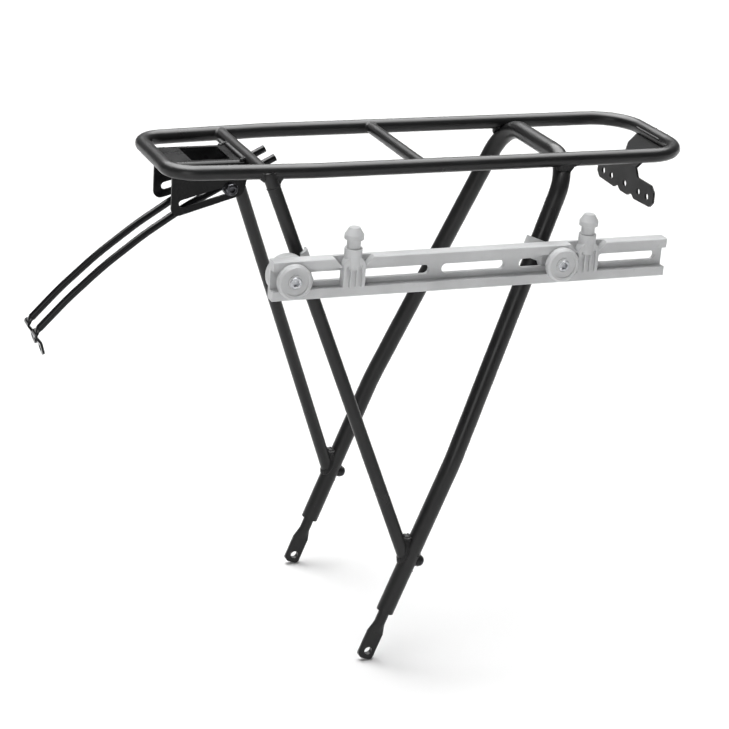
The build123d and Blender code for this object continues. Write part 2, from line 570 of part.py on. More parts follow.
def build():
    nodes = {
        "deck_loop": deck_loop(),
        "front_cross_tube": cross_tube(FRONT_CROSS_X, FRONT_CROSS_HEIGHT),
        "middle_cross_tube": cross_tube(MIDDLE_CROSS_X, DECK_HEIGHT),
        "rear_hoop": rear_hoop(),
        "front_bracket": front_bracket(),
        "light_plate": light_plate(),
        "side_rail": side_rail(),
        "rail_stud_screws": stud_screws(),
    }
    for name, side in SIDES.items():
        nodes[f"front_leg_{name}"] = front_leg(side)
        nodes[f"leg_gusset_{name}"] = leg_gusset(side)
        nodes[f"foot_{name}"] = foot(side)
        nodes[f"foot_screw_{name}"] = foot_screw(side)
        nodes[f"foot_screw_boss_{name}"] = foot_screw_boss(side)
        nodes[f"stay_rod_{name}"] = stay_rod(side)
        nodes[f"stay_tab_{name}"] = stay_tab(side)
        nodes[f"stay_clamp_barrel_{name}"] = clamp_barrel(side)
        nodes[f"stay_clamp_washer_{name}"] = clamp_washer(side)
        nodes[f"stay_clamp_screw_{name}"] = clamp_screw(side)
    front_top = (FRONT_LEG_TOP_X, -FRONT_LEG_TOP_Y, DECK_HEIGHT)
    front_leg_ends = (front_top, along_leg(JOINT_ALONG, -1), FRONT_LEG_TUBE)
    bend = along_leg(HOOP_BEND_HEIGHT / cos(LEAN), -1)
    rear_leg_ends = ((HOOP_TOP_X, -HOOP_TOP_HALF, HOOP_TOP_HEIGHT), bend, HOOP_TUBE)
    for name, ends in (("front", front_leg_ends), ("rear", rear_leg_ends)):
        nodes[f"rail_stud_{name}"] = rail_stud(STUD_X[name])
        nodes[f"rail_knob_{name}"] = rail_knob(CLAMP_X[name])
        nodes[f"rail_bolt_{name}"] = rail_bolt(CLAMP_X[name])
        nodes[f"rail_jaw_{name}"] = rail_jaw(CLAMP_X[name], JAW_BOSS[name], *ends)
    return nodes


os.makedirs("parts", exist_ok=True)
for node, shape in build().items():
    export_step(shape, f"parts/{node}.step")
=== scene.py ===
import math
import random

import bmesh
import bpy
from bpy.props import FloatProperty, FloatVectorProperty, PointerProperty
from mathutils import Matrix, Vector


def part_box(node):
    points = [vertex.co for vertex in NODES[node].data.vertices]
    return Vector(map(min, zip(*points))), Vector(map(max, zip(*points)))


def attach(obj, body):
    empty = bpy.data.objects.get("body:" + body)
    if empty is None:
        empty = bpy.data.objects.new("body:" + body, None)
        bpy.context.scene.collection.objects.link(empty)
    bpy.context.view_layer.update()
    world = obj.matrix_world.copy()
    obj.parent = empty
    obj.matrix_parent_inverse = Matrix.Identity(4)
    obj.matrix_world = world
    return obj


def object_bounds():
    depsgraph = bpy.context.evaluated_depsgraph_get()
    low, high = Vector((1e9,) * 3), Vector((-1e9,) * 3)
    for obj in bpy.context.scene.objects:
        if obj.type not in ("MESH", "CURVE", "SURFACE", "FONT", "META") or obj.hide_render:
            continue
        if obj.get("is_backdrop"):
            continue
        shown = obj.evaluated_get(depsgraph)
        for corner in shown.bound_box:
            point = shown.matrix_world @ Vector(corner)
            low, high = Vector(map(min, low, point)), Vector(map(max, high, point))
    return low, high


bl_info = {
    "name": "Rear Rack",
    "version": (1, 0, 0),
    "blender": (4, 5, 0),
    "location": "View3D > Sidebar > Rack",
    "description": "Finishes, weld beads and small fittings of a bicycle's rear rack, with its studio",
    "category": "Add Mesh",
}

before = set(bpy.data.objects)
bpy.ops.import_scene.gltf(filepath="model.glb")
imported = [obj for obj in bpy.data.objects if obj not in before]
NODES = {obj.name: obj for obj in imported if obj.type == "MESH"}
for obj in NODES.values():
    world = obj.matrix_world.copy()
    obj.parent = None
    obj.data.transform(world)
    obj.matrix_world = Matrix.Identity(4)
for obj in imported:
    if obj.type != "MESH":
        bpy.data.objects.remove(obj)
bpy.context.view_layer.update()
SIDES = {"left": -1, "right": 1}

# ---- layout of the welded frame, in metres: origin midway between the foot eyes, +X to the rear ----
DECK_LOW, DECK_TOP = (Vector(corner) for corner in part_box("deck_loop"))
DECK_RADIUS = (DECK_TOP.z - DECK_LOW.z) / 2
DECK_HEIGHT = (DECK_TOP.z + DECK_LOW.z) / 2
RAIL_Y = DECK_TOP.y - DECK_RADIUS
DECK_REAR = DECK_TOP.x - DECK_RADIUS
DECK_FRONT = DECK_LOW.x + DECK_RADIUS
LEAN = math.radians(21.0)
LEG_UP = Vector((math.sin(LEAN), 0, math.cos(LEAN)))
FOOT_Y = 0.094
FORK_ALONG = 0.0843                  # from the foot eye up the leg to the fork
FRONT_LEG_TOP = Vector((-0.099, 0.059, 0.418))
TAPER_START = -0.061                 # where the rails start to close in, and where they end
TAPER_END = -0.1745
FRONT_HALF = 0.051                   # half the distance between the rails at their front end
FRONT_LEG_RADIUS = 0.0055
HOOP_RADIUS = 0.0075
HOOP_BEND = 0.170 / math.cos(LEAN)   # from the foot eye up the leg to its bend
HOOP_TOP = Vector((0.1633, 0.0618, 0.4165))
HOOP_CORNER = 0.034
CROSS_RADIUS = 0.005

# ---- shape of the welds ----
BEAD_STEPS = 6                       # rings of vertices in one ripple of a bead
BEAD_WANDER_STEPS = 5                # rings of a bead that share one random value
FILLET_STEPS = 5                     # rings of vertices in one ripple of a fillet
FILLET_DRIFT_STEPS = 6               # rings of a fillet between two random values
FILLET_SINK = 0.00015                # how far a fillet's edges sink into the tube walls
FILLET_ROOT = 0.0008                 # how far its root sinks below the seam
RING_DROP = 0.0128                   # from a front leg's top down to the ring that ends its weld

WEB_BEADS = 11                       # beads over a fork's web, the first one at the top
WEB_HIGH = 0.93                      # height of the first one, and of all of them, as shares of the web's
WEB_SPAN = 0.46
WEB_WIDEN = 1.15                     # a bead's half width against the web's
WEB_NARROW = 0.75                    # share of that width that is gone at the last bead
WEB_LEAST_WIDTH = 0.0024
WEB_HALF_THICKNESS = 0.0047          # at the first bead, and how much thinner it is at the last one
WEB_THINNING = 0.0007
WEB_EDGE = 0.955                     # height of the web's top edge at its middle, and how much its ends rise
WEB_EDGE_RISE = 0.06
WEB_EDGE_GAP = 0.0024                # between the beads side by side on that edge

BRACKET_RUN = (0.006, 0.020)         # Y of the beads on the deck's front run, above and below the bracket
BRACKET_UNDER = (0.004, 0.020)
BRACKET_CROSS_HALF = 0.0221          # half length of the bead on the front cross tube
PLATE_SEAM_HALF = 0.0205             # half length of the light plate's beads
PLATE_SPATTER_HALF = 0.024

# ---- studio ----
CAMERA_PLACE = (-0.646495, -1.581099, 0.890484)
CAMERA_TURNS = (-22.813, 21.23, 4.035)   # round Z, above the floor and roll, in degrees
SENSOR_WIDTH = 36.0
FLOOR_HALF = 6.0
FLOOR_GAP = 0.001                    # below the lowest point of the rack
SOFTBOX_SIZE = 0.9
KEY_PLACE = Vector((-0.15, 0.25, 1.9))
GLOSS_PLACE = Vector((0.1, 0.55, 1.9))
SOFTBOX_PLACE = Vector((-1.1, -1.5, 0.8))


def rail_line(x, side):
    """Point on a deck rail's axis at a given X, and its direction there. The rails close in to the front."""
    share = max(0.0, (TAPER_START - x) / (TAPER_START - TAPER_END))
    point = Vector((x, side * (RAIL_Y - share * (RAIL_Y - FRONT_HALF)), DECK_HEIGHT))
    if share == 0.0:
        return point, Vector((1, 0, 0))
    return point, Vector((TAPER_START - TAPER_END, side * (RAIL_Y - FRONT_HALF), 0)).normalized()


def leg_point(distance, side):
    """Point on the axis of a lower leg, at a distance above its foot eye."""
    return Vector((0, side * FOOT_Y, 0)) + LEG_UP * distance


# ---- settings ----

class RackSizes(bpy.types.PropertyGroup):
    bead: FloatProperty(
        name="Weld bead", description="Half thickness of the weld beads", default=0.0011, unit="LENGTH")
    fillet: FloatProperty(
        name="Fillet weld", description="Leg length of the fillet welds under the deck",
        default=0.0027, unit="LENGTH")
    ripple: FloatProperty(
        name="Weld ripple", description="Distance between two ripples of a bead",
        default=0.0017, unit="LENGTH")
    coat_grain: FloatProperty(
        name="Coat grain", description="Size of the powder coat's orange peel", default=0.0011, unit="LENGTH")
    plastic_grain: FloatProperty(
        name="Plastic grain", description="Size of the moulded texture", default=0.0005, unit="LENGTH")


class RackColours(bpy.types.PropertyGroup):
    coat: FloatVectorProperty(
        name="Powder coat", description="Frame tubes and light plate",
        default=(0.006, 0.006, 0.0063), size=3, subtype="COLOR")
    gloss: FloatVectorProperty(
        name="Gloss black", description="Stays and bracket",
        default=(0.004, 0.004, 0.0044), size=3, subtype="COLOR")
    dust: FloatVectorProperty(
        name="Dust", description="Pale dust that settles in the coat",
        default=(0.014, 0.0138, 0.0135), size=3, subtype="COLOR")
    plastic: FloatVectorProperty(
        name="Pale plastic", description="Pannier rail, knobs and studs",
        default=(0.50, 0.505, 0.51), size=3, subtype="COLOR")
    zinc: FloatVectorProperty(
        name="Zinc", description="Bolts of the pannier rail",
        default=(0.46, 0.47, 0.49), size=3, subtype="COLOR")


class RackStage(bpy.types.PropertyGroup):
    floor: FloatVectorProperty(
        name="Floor", description="Colour of the studio floor",
        default=(0.93, 0.93, 0.93), size=3, subtype="COLOR")
    lens: FloatProperty(
        name="Lens", description="Camera's focal length in millimetres", default=105.9, min=10, max=300)
    key: FloatProperty(
        name="Key light", description="Strength of the overhead panel of light", default=3.4, min=0, max=20)
    spread: FloatProperty(
        name="Key spread", description="Angle that the overhead panel covers, seen from the rack",
        default=math.radians(46), subtype="ANGLE")
    gloss: FloatProperty(
        name="Highlight panel", description="Strength of the wide panel that only shows in reflections",
        default=10.0, min=0, max=60)
    gloss_spread: FloatProperty(
        name="Highlight spread", description="Angle that the wide panel covers",
        default=math.radians(80), subtype="ANGLE")
    side: FloatProperty(
        name="Side light", description="Power of the front softbox", default=7.0, unit="POWER")
    world: FloatProperty(
        name="Surroundings", description="Brightness of the studio's walls", default=0.22, min=0, max=4)


# ---- materials ----

class Recipe:
    """A node material that is built up step by step."""

    def __init__(self, name):
        self.material = bpy.data.materials.new(name)
        self.material.use_nodes = True
        self.tree = self.material.node_tree
        self.shader = self.tree.nodes["Principled BSDF"]
        self.place = self.add("ShaderNodeTexCoord").outputs["Object"]

    def add(self, kind, **values):
        """New node with the given settings."""
        node = self.tree.nodes.new(kind)
        for key, value in values.items():
            setattr(node, key, value)
        return node

    def link(self, start, end):
        self.tree.links.new(start, end)

    def noise(self, size, detail=3.0, roughness=0.5):
        """Noise whose features are about the given size in metres."""
        node = self.add("ShaderNodeTexNoise")
        node.inputs["Scale"].default_value = 1.0 / size
        node.inputs["Detail"].default_value = detail
        node.inputs["Roughness"].default_value = roughness
        self.link(self.place, node.inputs["Vector"])
        return node.outputs["Fac"]

    def span(self, value, low, high, to_low, to_high):
        """Maps a value from one range to another, and holds it inside the second one."""
        node = self.add("ShaderNodeMapRange")
        for socket, number in zip(("From Min", "From Max", "To Min", "To Max"), (low, high, to_low, to_high)):
            node.inputs[socket].default_value = number
        self.link(value, node.inputs["Value"])
        return node.outputs["Result"]

    def blend(self, factor, first, second):
        """Mix of two colours, each a fixed one or another node's output."""
        node = self.add("ShaderNodeMix", data_type="RGBA")
        self.link(factor, node.inputs["Factor"])
        inputs = [socket for socket in node.inputs if socket.type == "RGBA"]
        for socket, colour in zip(inputs, (first, second)):
            if isinstance(colour, bpy.types.NodeSocket):
                self.link(colour, socket)
            else:
                socket.default_value = (*colour, 1.0)
        return next(socket for socket in node.outputs if socket.type == "RGBA")

    def bump(self, height, strength, distance, under=None):
        """Normal that follows a height in metres, on top of the normal under it."""
        node = self.add("ShaderNodeBump")
        node.inputs["Strength"].default_value = strength
        node.inputs["Distance"].default_value = distance
        self.link(height, node.inputs["Height"])
        if under:
            self.link(under, node.inputs["Normal"])
        return node.outputs["Normal"]


def powder_coat(name, colour, dust, grain, rough, peel=0.35, shine=0.33):
    """Sprayed coat: orange peel, cloudy roughness between the two values of rough, and a little dust."""
    recipe = Recipe(name)
    recipe.shader.inputs["Specular IOR Level"].default_value = shine
    clouds = recipe.noise(0.06, 4.0)
    specks = recipe.noise(0.0016, 2.0)
    dusty = recipe.blend(recipe.span(clouds, 0.46, 0.74, 0.0, 0.5), colour, dust)
    lint = [min(1, channel * 2.4) for channel in dust]
    speckled = recipe.blend(recipe.span(specks, 0.70, 0.80, 0.0, 0.5), dusty, lint)
    recipe.link(speckled, recipe.shader.inputs["Base Color"])
    recipe.link(recipe.span(recipe.noise(0.02, 3.0), 0.3, 0.7, *rough), recipe.shader.inputs["Roughness"])
    peel_normal = recipe.bump(recipe.noise(grain, 1.0), peel, 0.00006)
    recipe.link(recipe.bump(specks, 0.15, 0.00005, peel_normal), recipe.shader.inputs["Normal"])
    return recipe.material


def moulded_plastic(name, colour, grain, rough):
    """Pale plastic with a fine spark texture, faint flow clouds and a little soil."""
    recipe = Recipe(name)
    darker = [channel * 0.86 for channel in colour]
    soiled = [channel * 0.7 for channel in colour]
    clouds = recipe.blend(recipe.span(recipe.noise(0.03, 4.0), 0.35, 0.7, 0.0, 1.0), colour, darker)
    soil = recipe.span(recipe.noise(0.004, 3.0), 0.62, 0.8, 0.0, 0.35)
    recipe.link(recipe.blend(soil, clouds, soiled), recipe.shader.inputs["Base Color"])
    recipe.link(recipe.span(recipe.noise(0.008, 2.0), 0.3, 0.7, *rough), recipe.shader.inputs["Roughness"])
    sinks = recipe.bump(recipe.noise(0.018, 2.0), 0.25, 0.0006)
    recipe.link(recipe.bump(recipe.noise(grain, 2.0), 0.3, 0.00005, sinks), recipe.shader.inputs["Normal"])
    return recipe.material


def plated_steel(name, colour, rough):
    """Plated steel with fine turning marks, drawn out along Y, and worn spots."""
    recipe = Recipe(name)
    recipe.shader.inputs["Metallic"].default_value = 1.0
    worn = recipe.span(recipe.noise(0.0035, 3.0), 0.56, 0.66, 0.0, 0.6)
    mapping = recipe.add("ShaderNodeMapping")
    mapping.inputs["Scale"].default_value = (1, 14, 1)
    recipe.link(recipe.place, mapping.inputs["Vector"])
    recipe.place = mapping.outputs["Vector"]
    marks = recipe.noise(0.0015, 4.0, 0.7)
    darker = [channel * 0.65 for channel in colour]
    brighter = [min(0.7, channel * 2.6) for channel in colour]
    streaked = recipe.blend(recipe.span(marks, 0.3, 0.7, 0.0, 1.0), colour, darker)
    recipe.link(recipe.blend(worn, streaked, brighter), recipe.shader.inputs["Base Color"])
    recipe.link(recipe.span(marks, 0.3, 0.7, *rough), recipe.shader.inputs["Roughness"])
    recipe.link(recipe.bump(marks, 0.2, 0.00004), recipe.shader.inputs["Normal"])
    return recipe.material


def finish(material, *nodes):
    """Gives a material to CAD nodes."""
    for node in nodes:
        for place in NODES[node].material_slots:
            place.material = material


# ---- mesh helpers ----

def new_piece(name, build, material, body):
    """Object from a function that fills a bmesh."""
    mesh = bpy.data.meshes.new(name)
    work = bmesh.new()
    build(work)
    bmesh.ops.recalc_face_normals(work, faces=work.faces)
    work.to_mesh(mesh)
    work.free()
    for polygon in mesh.polygons:
        polygon.use_smooth = True
    piece = bpy.data.objects.new(name, mesh)
    bpy.context.collection.objects.link(piece)
    mesh.materials.append(material)
    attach(piece, body)
    return piece


def weld_piece(name, build):
    """Weld metal on the frame, from a function that fills a bmesh."""
    return new_piece(name, build, bpy.data.materials["weld_coat"], "rack")


def across(direction):
    """Two unit vectors square to a direction and to each other."""
    side = direction.cross(Vector((0, 0, 1)))
    if side.length < 0.1:
        side = direction.cross(Vector((1, 0, 0)))
    side.normalize()
    return side, direction.cross(side).normalized()


def circle(centre, side, other, radius, steps):
    """Points round a centre: a circle for two unit vectors, an oval for ones of different lengths."""
    turns = [2 * math.pi * step / steps for step in range(steps)]
    return [centre + (side * math.cos(turn) + other * math.sin(turn)) * radius for turn in turns]


def ring_round(centre, axis, radius, steps=72):
    """Circle of points round a tube."""
    return circle(centre, *across(axis), radius, steps)


def saddle(start, direction, radius, on_point, on_direction, on_radius, steps=96):
    """Seam where a round tube that runs along direction first meets another round tube."""
    direction, axis = direction.normalized(), on_direction.normalized()
    flat = direction - axis * direction.dot(axis)
    seam = []
    for point in ring_round(start, direction, radius, steps):
        away = point - on_point
        away -= axis * away.dot(axis)
        a, b, c = flat.dot(flat), away.dot(flat), away.dot(away) - on_radius ** 2
        reach = (-b - math.sqrt(max(0.0, b * b - a * c))) / a
        seam.append(point + direction * reach)
    return seam


def arc_points(first, corner, last, radius, steps=12):
    """Tangent arc that rounds a corner between two straight runs."""
    arriving, leaving = (corner - first).normalized(), (last - corner).normalized()
    turn = arriving.angle(leaving)
    reach = radius * math.tan(turn / 2)
    start = corner - arriving * reach
    centre = start + (leaving - arriving * leaving.dot(arriving)).normalized() * radius
    spoke, axis = start - centre, arriving.cross(leaving).normalized()
    return [centre + Matrix.Rotation(turn * step / steps, 3, axis) @ spoke for step in range(steps + 1)]


def hoop_line(side):
    """Centreline of the rear hoop on one side, from the lower bend to the middle under the deck."""
    bend = leg_point(HOOP_BEND, side)
    top = Vector((HOOP_TOP.x, side * HOOP_TOP.y, HOOP_TOP.z))
    middle = Vector((HOOP_TOP.x, 0, HOOP_TOP.z))
    return [bend, *arc_points(bend, top, middle, HOOP_CORNER, 24), middle]


def nearest(point, line):
    """Closest point on a line of straight pieces, and the line's direction there."""
    best = None
    for first, last in zip(line, line[1:]):
        run = last - first
        share = min(1.0, max(0.0, (point - first).dot(run) / run.dot(run)))
        spot = first + run * share
        if best is None or (point - spot).length < (point - best[0]).length:
            best = (spot, run.normalized())
    return best


def hoop_seam(side, steps=120):
    """Seam on a deck rail where the bend of the hoop passes into it."""
    line = hoop_line(side)

    def on_rail(along, round_it):
        angle = round_it / DECK_RADIUS
        y = side * (RAIL_Y + math.sin(angle) * DECK_RADIUS)
        return Vector((HOOP_TOP.x + along, y, DECK_HEIGHT - math.cos(angle) * DECK_RADIUS))

    seam = []
    for step in range(steps):
        turn = 2 * math.pi * step / steps
        low, high = 0.0, 0.03
        for _ in range(24):
            middle = (low + high) / 2
            point = on_rail(middle * math.cos(turn), middle * math.sin(turn))
            if (point - nearest(point, line)[0]).length < HOOP_RADIUS:
                low = middle
            else:
                high = middle
        seam.append(on_rail(low * math.cos(turn), low * math.sin(turn)))
    return seam


def evenly(points, closed, gap):
    """Points at an even distance along a line of points."""
    line = points + [points[0]] if closed else points
    lengths = [0.0]
    for first, last in zip(line, line[1:]):
        lengths.append(lengths[-1] + (last - first).length)
    count = max(6, round(lengths[-1] / gap))
    result, index = [], 0
    for step in range(count if closed else count + 1):
        target = lengths[-1] * step / count
        while index < len(line) - 2 and lengths[index + 1] < target:
            index += 1
        share = (target - lengths[index]) / max(1e-9, lengths[index + 1] - lengths[index])
        result.append(line[index].lerp(line[index + 1], min(1.0, share)))
    return result


def lay_bead(work, points, radius, ripple, seed, closed=True, sides=10):
    """Rippled weld bead along a seam, uneven as a hand-laid one is. It stays below the deck's top."""
    chance = random.Random(seed)
    spots = evenly(points, closed, ripple / BEAD_STEPS)
    count = len(spots)
    wander = [chance.uniform(-0.35, 0.35) for _ in range(count // BEAD_WANDER_STEPS + 3)]
    rings = []
    for index, spot in enumerate(spots):
        before = spots[index - 1] if closed or index else spots[0]
        after = spots[(index + 1) % count] if closed or index < count - 1 else spots[-1]
        phase = index / BEAD_STEPS + wander[index // BEAD_WANDER_STEPS] * 0.5
        wave = abs(math.sin(math.pi * phase))
        size = radius * (0.80 + 0.28 * wave + 0.10 * wander[index // BEAD_WANDER_STEPS + 1])
        if not closed:
            size *= min(1.0, 0.35 + min(index, count - 1 - index) / BEAD_STEPS)
        ring = []
        for point in circle(spot, *across((after - before).normalized()), size, sides):
            point.z = min(point.z, DECK_TOP.z)
            ring.append(work.verts.new(point))
        rings.append(ring)
    skin(work, rings, closed)
    if not closed:
        work.faces.new(rings[0])
        work.faces.new(rings[-1][::-1])


def skin(work, rings, closed):
    """Faces between each ring of vertices and the next one, and from the last to the first if closed."""
    sides = len(rings[0])
    for first, last in zip(rings, rings[1:] + rings[:1] if closed else rings[1:]):
        for step in range(sides):
            after = (step + 1) % sides
            work.faces.new((first[step], first[after], last[after], last[step]))


def dome(work, centre, axis, radius, height, steps=6, sides=24):
    """Low domed head of a rivet, with a flat seat."""
    axis = axis.normalized()
    rings = []
    for step in range(steps):
        turn = math.pi / 2 * step / steps
        middle = centre + axis * (math.sin(turn) * height)
        ring = circle(middle, *across(axis), math.cos(turn) * radius, sides)
        rings.append([work.verts.new(point) for point in ring])
    work.faces.new(rings[0][::-1])
    skin(work, rings, closed=False)
    top = work.verts.new(centre + axis * height)
    for first, last in zip(rings[-1], rings[-1][1:] + rings[-1][:1]):
        work.faces.new((first, last, top))


def weld_fillet(work, seam, line, radius, on_point, on_axis, on_radius, size, ripple, seed, swell=None):
    """Fillet weld of a tube that ends on another: a rippled skirt from the tube's wall to the other one's wall.

    line is the ending tube's centreline, towards the joint. swell is a direction and an amount: the weld is
    larger by that share on that side."""
    chance = random.Random(seed)
    spots = evenly(seam, True, ripple / FILLET_STEPS)
    centre = sum(spots, Vector()) / len(spots)
    wander = [chance.uniform(-1, 1) for _ in range(len(spots) // FILLET_DRIFT_STEPS + 2)]
    on_axis = on_axis.normalized()
    rings = []
    for index, spot in enumerate(spots):
        middle, direction = nearest(spot, line)
        out = (spot - middle).normalized()
        group, rest = divmod(index, FILLET_DRIFT_STEPS)
        ease = rest / FILLET_DRIFT_STEPS
        drift = wander[group] * (1 - ease) + wander[(group + 1) % len(wander)] * ease
        wave = abs(math.sin(math.pi * (index / FILLET_STEPS + 0.3 * drift)))
        reach = size * (1 + 0.16 * drift)
        if swell:
            reach *= 1 + swell[1] * max(0.0, (spot - centre).normalized().dot(swell[0])) ** 2
        back = spot - direction * reach
        back_middle = nearest(back, line)[0]
        low = back_middle + (back - back_middle).normalized() * (radius - FILLET_SINK)
        edge = spot + out * reach - on_point
        along = on_axis * edge.dot(on_axis)
        edge = on_point + along + (edge - along).normalized() * (on_radius - FILLET_SINK)
        face = (low - edge).cross(on_axis.cross(out)).normalized()
        if face.dot(out) < 0:
            face = -face
        lift = size * (0.10 + 0.13 * wave)
        first = low.lerp(edge, 0.12) + face * lift
        second = low.lerp(edge, 0.5).lerp(spot, 0.18) + face * lift * 1.2
        third = low.lerp(edge, 0.88) + face * lift * 0.8
        root = spot - out * FILLET_ROOT
        ring = [work.verts.new(point) for point in (low, first, second, third, edge, root)]
        for vertex in ring:
            vertex.co.z = min(vertex.co.z, DECK_TOP.z)
        rings.append(ring)
    skin(work, rings, closed=True)


def spatter(work, line, radius, spread, count, seed):
    """Small drops of weld metal on a tube's wall, about the middle of a short stretch of its centreline."""
    chance = random.Random(seed)
    axis = (line[1] - line[0]).normalized()
    side, other = across(axis)
    middle = (line[0] + line[1]) / 2
    for _ in range(count):
        turn = chance.uniform(0, 2 * math.pi)
        place = middle + axis * chance.uniform(-spread, spread)
        place += (side * math.cos(turn) + other * math.sin(turn)) * radius
        size = chance.uniform(0.0003, 0.0007)
        place.z = min(place.z, DECK_TOP.z - size)
        place.x = min(place.x, DECK_TOP.x - size)
        bmesh.ops.create_icosphere(work, subdivisions=2, radius=size, matrix=Matrix.Translation(place))


# ---- the rack's finishes and pieces ----

class RACK_OT_finishes(bpy.types.Operator):
    """Mixes the rack's materials and gives them to the CAD nodes"""
    bl_idname = "rack.finishes"
    bl_label = "Finishes"

    def execute(self, context):
        sizes, colours = context.scene.rack_sizes, context.scene.rack_colours
        coat, gloss, dust = (list(colour) for colour in (colours.coat, colours.gloss, colours.dust))
        pale = list(colours.plastic)
        lighter = [min(1, channel * 1.03) for channel in pale]
        grain, spark = sizes.coat_grain, sizes.plastic_grain
        tube = powder_coat("frame_powder_coat", coat, dust, grain, (0.27, 0.38))
        sheet = powder_coat("bracket_coat", gloss, dust, grain * 0.8, (0.20, 0.34), peel=0.3, shine=0.14)
        plate = powder_coat("light_plate_coat", coat, dust, grain * 0.7, (0.30, 0.44), peel=0.4, shine=0.15)
        stay = powder_coat("stay_gloss_coat", gloss, coat, grain, (0.12, 0.20), peel=0.25, shine=0.22)
        foot = powder_coat("foot_coat", coat, dust, grain * 0.6, (0.28, 0.40))
        weld = powder_coat("weld_coat", coat, dust, grain * 0.5, (0.34, 0.50), peel=0.6, shine=0.25)
        screw = plated_steel("blackened_steel", [0.055, 0.055, 0.06], (0.22, 0.40))
        plastic = moulded_plastic("pale_rail_plastic", pale, spark, (0.34, 0.50))
        stud = moulded_plastic("pale_stud_plastic", lighter, spark, (0.30, 0.44))
        zinc = plated_steel("zinc_plate", list(colours.zinc), (0.25, 0.42))
        finish(tube, "deck_loop", "front_cross_tube", "middle_cross_tube", "rear_hoop")
        finish(sheet, "front_bracket")
        finish(plate, "light_plate")
        finish(plastic, "side_rail", "rail_knob_front", "rail_knob_rear", "rail_jaw_front", "rail_jaw_rear")
        finish(stud, "rail_stud_front", "rail_stud_rear")
        finish(zinc, "rail_bolt_front", "rail_bolt_rear", "rail_stud_screws")
        for name in SIDES:
            finish(tube, f"front_leg_{name}")
            finish(weld, f"leg_gusset_{name}", f"foot_screw_boss_{name}")
            finish(foot, f"foot_{name}")
            finish(screw, f"foot_screw_{name}", f"stay_clamp_screw_{name}")
            finish(screw, f"stay_clamp_washer_{name}", f"stay_clamp_barrel_{name}")
            finish(stay, f"stay_rod_{name}", f"stay_tab_{name}")
        return {"FINISHED"}


def front_leg(side):
    """Lower and upper end of a front leg's axis, and its direction."""
    fork = leg_point(FORK_ALONG, side)
    top = Vector((FRONT_LEG_TOP.x, side * FRONT_LEG_TOP.y, FRONT_LEG_TOP.z))
    return fork, top, (top - fork).normalized()


class RACK_OT_leg_welds(bpy.types.Operator):
    """Lays the welds at the tops of the front legs, with the ring that ends each one"""
    bl_idname = "rack.leg_welds"
    bl_label = "Front leg welds"

    def execute(self, context):
        sizes = context.scene.rack_sizes

        def build(work):
            for seed, side in enumerate(SIDES.values()):
                fork, top, up = front_leg(side)
                on_rail, along_rail = rail_line(FRONT_LEG_TOP.x, side)
                seam = saddle(top - up * 0.05, up, FRONT_LEG_RADIUS, on_rail, along_rail, DECK_RADIUS)
                weld_fillet(
                    work, seam, [fork, top], FRONT_LEG_RADIUS, on_rail, along_rail, DECK_RADIUS,
                    sizes.fillet, sizes.ripple, 11 + seed, (Vector((1, 0, 0)), 0.5))
                ring = ring_round(top - up * RING_DROP, up, FRONT_LEG_RADIUS)
                lay_bead(work, ring, sizes.bead * 0.4, sizes.ripple, 15 + seed)
                spatter(work, [top - up * 0.020, top - up * 0.012], FRONT_LEG_RADIUS, 0.006, 6, 17 + seed)

        weld_piece("leg_weld_beads", build)
        return {"FINISHED"}


class RACK_OT_fork_welds(bpy.types.Operator):
    """Lays the welds of the forks: round the front leg's end, down both sides of the web and over its top"""
    bl_idname = "rack.fork_welds"
    bl_label = "Fork welds"

    def execute(self, context):
        sizes = context.scene.rack_sizes

        def web(work, seed, name, side):
            """Beads round a fork's web, from its top down to where the tubes meet, and along its top edge."""
            fork, _, up = front_leg(side)
            middle, lean_out = (up + LEG_UP).normalized(), (up - LEG_UP).normalized()
            out = up.cross(LEG_UP).normalized()
            rise = Vector(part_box(f"leg_gusset_{name}")[1]).z - fork.z
            half = up.angle(LEG_UP) / 2
            reach = rise * math.tan(half) - (FRONT_LEG_RADIUS + HOOP_RADIUS) / 2 / math.cos(half)
            shift = lean_out * (HOOP_RADIUS - FRONT_LEG_RADIUS) / 2
            for step in range(WEB_BEADS):
                share = step / (WEB_BEADS - 1)
                here = fork + middle * (rise * (WEB_HIGH - WEB_SPAN * share)) + shift * (1 - share)
                width = max(WEB_LEAST_WIDTH, reach * (1 - WEB_NARROW * share)) * WEB_WIDEN
                thickness = WEB_HALF_THICKNESS - WEB_THINNING * share
                oval = circle(here, lean_out * width, out * thickness, 1, 40)
                thick = sizes.bead * (1.35 if step == 0 else 0.95)
                lay_bead(work, oval, thick, sizes.ripple, 41 + seed * 20 + step)
            edge = [
                fork + middle * rise * (WEB_EDGE + WEB_EDGE_RISE * abs(end)) + shift + lean_out * reach * end
                for end in (-1, 0, 1)
            ]
            for offset in (-WEB_EDGE_GAP, 0.0, WEB_EDGE_GAP):
                line = [point + out * offset for point in edge]
                lay_bead(work, line, sizes.bead * 1.35, sizes.ripple, 81 + seed, closed=False)

        def build(work):
            for seed, (name, side) in enumerate(SIDES.items()):
                fork, top, up = front_leg(side)
                seam = saddle(fork + up * 0.05, -up, FRONT_LEG_RADIUS, fork, LEG_UP, HOOP_RADIUS)
                weld_fillet(
                    work, seam, [top, fork], FRONT_LEG_RADIUS, fork, LEG_UP, HOOP_RADIUS,
                    sizes.fillet * 1.15, sizes.ripple, 21 + seed, (-(up + LEG_UP).normalized(), 0.3))
                web(work, seed, name, side)
                low, high = fork - LEG_UP * 0.004, fork + LEG_UP * 0.012
                spatter(work, [low, high], HOOP_RADIUS, 0.010, 14, 27 + seed)

        weld_piece("fork_weld_beads", build)
        return {"FINISHED"}


